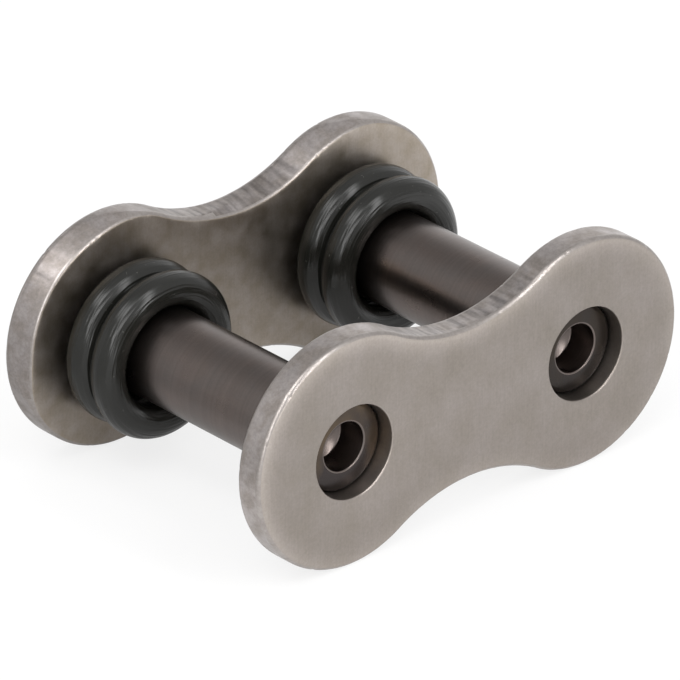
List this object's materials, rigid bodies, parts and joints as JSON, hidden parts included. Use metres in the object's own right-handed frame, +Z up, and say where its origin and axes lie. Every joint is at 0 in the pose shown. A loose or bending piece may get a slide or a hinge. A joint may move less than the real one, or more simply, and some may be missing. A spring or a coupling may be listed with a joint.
{
  "type": "chain connecting link",
  "caption": "Riveted connecting link of a sealed roller chain: waisted steel plates joined by hollow-ended pins that carry round rubber seal rings.",
  "frame": {"origin": "on the surface the link stands on, under the middle of its bounding box", "axes": "+X along the pitch, +Y along the pins from the cover plate to the pin link plate, +Z up"},
  "size_m": [0.0286, 0.0202, 0.0128],
  "materials": {
    "plate_steel": "tumbled satin steel",
    "pin_steel": "ground, dark and glossy",
    "seal_rubber": "lightly greased black rubber"
  },
  "bodies": {
    "root": {"cover_plate": "plate_steel", "pin_link_plate": "plate_steel", "pin_left": "pin_steel", "pin_right": "pin_steel", "seal_ring_left_front": "seal_rubber", "seal_ring_left_rear": "seal_rubber", "seal_ring_right_front": "seal_rubber", "seal_ring_right_rear": "seal_rubber"}
  },
  "joints": []
}
